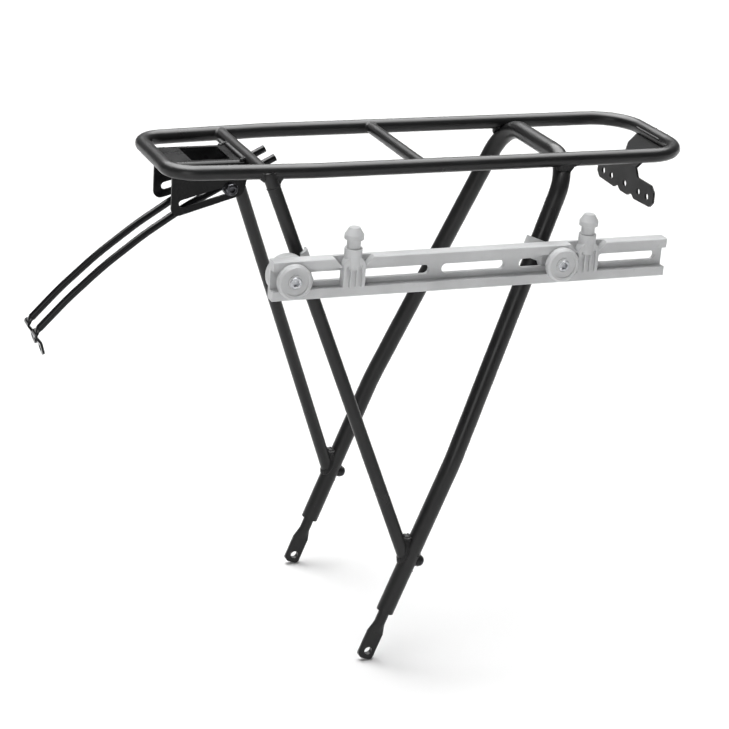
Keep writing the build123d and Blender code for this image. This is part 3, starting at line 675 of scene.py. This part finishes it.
class RACK_OT_hoop_welds(bpy.types.Operator):
    """Lays the welds where the hoop carries the rails, heavier behind the left leg and before the right one"""
    bl_idname = "rack.hoop_welds"
    bl_label = "Hoop welds"

    def execute(self, context):
        sizes = context.scene.rack_sizes

        def build(work):
            for seed, side in enumerate(SIDES.values()):
                rail = Vector((HOOP_TOP.x, side * RAIL_Y, DECK_HEIGHT))
                seam = hoop_seam(side)
                line = hoop_line(side)
                weld_fillet(
                    work, seam, line, HOOP_RADIUS, rail, Vector((1, 0, 0)), DECK_RADIUS,
                    sizes.fillet * 1.8, sizes.ripple, 31 + seed, (Vector((-side, 0, 0)), 0.9))
                low = line[0].lerp(line[1], 0.93)
                spatter(work, [low, line[1]], HOOP_RADIUS, 0.006, 10, 35 + seed)

        weld_piece("hoop_weld_beads", build)
        return {"FINISHED"}


class RACK_OT_cross_welds(bpy.types.Operator):
    """Lays the weld beads at the ends of the cross tubes"""
    bl_idname = "rack.cross_welds"
    bl_label = "Cross tube welds"

    def execute(self, context):
        sizes = context.scene.rack_sizes

        def build(work):
            for seed, node in enumerate(("front_cross_tube", "middle_cross_tube")):
                low, high = (Vector(corner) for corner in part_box(node))
                middle = (low + high) / 2
                for side in SIDES.values():
                    on_rail, along_rail = rail_line(middle.x, side)
                    outward = Vector((0, side, 0))
                    seam = saddle(middle, outward, CROSS_RADIUS, on_rail, along_rail, DECK_RADIUS)
                    weld_fillet(
                        work, seam, [middle, on_rail], CROSS_RADIUS, on_rail, along_rail, DECK_RADIUS,
                        sizes.fillet * 0.55, sizes.ripple, 141 + 2 * seed + side)

        weld_piece("cross_weld_beads", build)
        return {"FINISHED"}


class RACK_OT_bracket_welds(bpy.types.Operator):
    """Lays the bracket's welds on the front run and the front cross tube, and sets the rivet at its corner"""
    bl_idname = "rack.bracket_welds"
    bl_label = "Bracket welds"

    def execute(self, context):
        sizes = context.scene.rack_sizes
        corner = Vector(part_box("front_bracket")[1])
        edge = DECK_FRONT + DECK_RADIUS * 0.97
        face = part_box("front_cross_tube")[0][0]

        def build(work):
            def straight(first, last, thick, seed, stretch=1.0):
                line = [Vector(first), Vector(last)]
                lay_bead(work, line, sizes.bead * thick, sizes.ripple * stretch, seed, closed=False)

            for side in SIDES.values():
                near, far = (side * y for y in BRACKET_RUN)
                straight((edge, near, corner.z), (edge, far, corner.z), 1.0, 51 + side)
                y = side * (corner.y - 0.0025)
                straight((face - 0.004, y, corner.z), (face + 0.0026, y, corner.z + 0.0024), 1.2, 55 + side)
                near, far = (side * y for y in BRACKET_UNDER)
                x, z = edge + 0.0006, corner.z - 0.0024
                straight((x, near, z), (x, far, z), 0.8, 58 + side)

            x, z = face - 0.0003, corner.z + 0.0003
            straight((x, -BRACKET_CROSS_HALF, z), (x, BRACKET_CROSS_HALF, z), 2.0, 64, 1.1)
            rivet = Vector((face - 0.0055, corner.y - 0.0035, corner.z))
            dome(work, rivet, Vector((0, 0.15, 1)), 0.0021, 0.0013)

        weld_piece("bracket_weld_beads", build)
        return {"FINISHED"}


class RACK_OT_plate_welds(bpy.types.Operator):
    """Lays the bead that joins the light plate to the rear run of the deck, with its spatter"""
    bl_idname = "rack.plate_welds"
    bl_label = "Light plate weld"

    def execute(self, context):
        sizes = context.scene.rack_sizes

        def build(work):
            rear = Vector((DECK_REAR, 0, DECK_HEIGHT))
            for turn, thick in ((168, 1.0), (235, 0.8)):
                angle = math.radians(turn)
                place = rear + Vector((math.cos(angle), 0, math.sin(angle))) * DECK_RADIUS
                half = Vector((0, PLATE_SEAM_HALF, 0))
                seam = [place - half, place + half]
                lay_bead(work, seam, sizes.bead * thick, sizes.ripple, 71 + turn, closed=False)
            half = Vector((0, PLATE_SPATTER_HALF, 0))
            spatter(work, [rear - half, rear + half], DECK_RADIUS, PLATE_SPATTER_HALF, 16, 77)

        weld_piece("plate_weld_beads", build)
        return {"FINISHED"}


class RACK_OT_stage(bpy.types.Operator):
    """Sets up the floor, the soft lights and the camera"""
    bl_idname = "rack.stage"
    bl_label = "Stage"

    def execute(self, context):
        settings = context.scene.rack_stage
        low, high = (Vector(corner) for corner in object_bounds())
        middle = (low + high) / 2
        floor_mesh = bpy.data.meshes.new("studio_floor")
        work = bmesh.new()
        bmesh.ops.create_grid(work, x_segments=8, y_segments=8, size=FLOOR_HALF)
        work.to_mesh(floor_mesh)
        work.free()
        floor = bpy.data.objects.new("studio_floor", floor_mesh)
        floor.location = (middle.x, middle.y, low.z - FLOOR_GAP)
        context.collection.objects.link(floor)
        paper = Recipe("floor_paper")
        darker = [channel * 0.985 for channel in settings.floor]
        shade = paper.blend(paper.span(paper.noise(0.4, 3.0), 0.3, 0.7, 0.0, 1.0), settings.floor, darker)
        paper.link(shade, paper.shader.inputs["Base Color"])
        paper.shader.inputs["Roughness"].default_value = 0.8
        paper.shader.inputs["Specular IOR Level"].default_value = 0.0
        floor_mesh.materials.append(paper.material)
        floor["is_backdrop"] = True

        world = bpy.data.worlds.new("studio_walls")
        world.use_nodes = True
        world.node_tree.nodes["Background"].inputs["Color"].default_value = (1, 1, 1, 1)
        world.node_tree.nodes["Background"].inputs["Strength"].default_value = settings.world
        context.scene.world = world

        panel = bpy.data.lights.new("overhead_panel", "SUN")
        panel.energy, panel.angle = settings.key, settings.spread
        softbox = bpy.data.lights.new("front_softbox", "AREA")
        softbox.shape, softbox.size, softbox.energy = "SQUARE", SOFTBOX_SIZE, settings.side
        shine = bpy.data.lights.new("highlight_panel", "SUN")
        shine.energy, shine.angle = settings.gloss, settings.gloss_spread
        for lamp, place in ((panel, KEY_PLACE), (shine, GLOSS_PLACE), (softbox, SOFTBOX_PLACE)):
            holder = bpy.data.objects.new(lamp.name, lamp)
            holder.visible_diffuse = lamp is not shine
            holder.location = place
            holder.rotation_euler = (place - middle).to_track_quat("Z", "Y").to_euler()
            context.collection.objects.link(holder)
        context.scene.view_settings.view_transform = "Standard"

        lens = bpy.data.cameras.new("studio_camera")
        lens.lens, lens.sensor_width, lens.clip_start = settings.lens, SENSOR_WIDTH, 0.01
        camera = bpy.data.objects.new("studio_camera", lens)
        around, above, roll = (math.radians(angle) for angle in CAMERA_TURNS)
        level = math.cos(above)
        back = Vector((math.sin(around) * level, -math.cos(around) * level, math.sin(above)))
        right = Vector((0, 0, 1)).cross(back).normalized()
        up = back.cross(right)
        turned_right = right * math.cos(roll) + up * math.sin(roll)
        turned_up = up * math.cos(roll) - right * math.sin(roll)
        place = Matrix((turned_right, turned_up, back)).transposed().to_4x4()
        place.translation = CAMERA_PLACE
        camera.matrix_world = place
        context.collection.objects.link(camera)
        context.scene.camera = camera
        return {"FINISHED"}


STEPS = (
    RACK_OT_finishes, RACK_OT_leg_welds, RACK_OT_fork_welds, RACK_OT_hoop_welds, RACK_OT_cross_welds,
    RACK_OT_bracket_welds, RACK_OT_plate_welds, RACK_OT_stage,
)


class RACK_PT_sidebar(bpy.types.Panel):
    """Lists the rack's settings and steps"""
    bl_idname = "RACK_PT_sidebar"
    bl_label = "Rear Rack"
    bl_space_type = "VIEW_3D"
    bl_region_type = "UI"
    bl_category = "Rack"

    def draw(self, context):
        for group in (context.scene.rack_sizes, context.scene.rack_colours, context.scene.rack_stage):
            box = self.layout.box()
            for name in group.__annotations__:
                box.prop(group, name)
        for step in STEPS:
            self.layout.operator(step.bl_idname)


GROUPS = {"rack_sizes": RackSizes, "rack_colours": RackColours, "rack_stage": RackStage}


def register():
    for item in (*GROUPS.values(), *STEPS, RACK_PT_sidebar):
        bpy.utils.register_class(item)
    for name, group in GROUPS.items():
        setattr(bpy.types.Scene, name, PointerProperty(type=group))


def unregister():
    for name in GROUPS:
        delattr(bpy.types.Scene, name)
    for item in (RACK_PT_sidebar, *reversed(STEPS), *GROUPS.values()):
        bpy.utils.unregister_class(item)


def main():
    register()
    for step in STEPS:
        family, name = step.bl_idname.split(".")
        getattr(getattr(bpy.ops, family), name)()


if __name__ == "__main__":
    main()
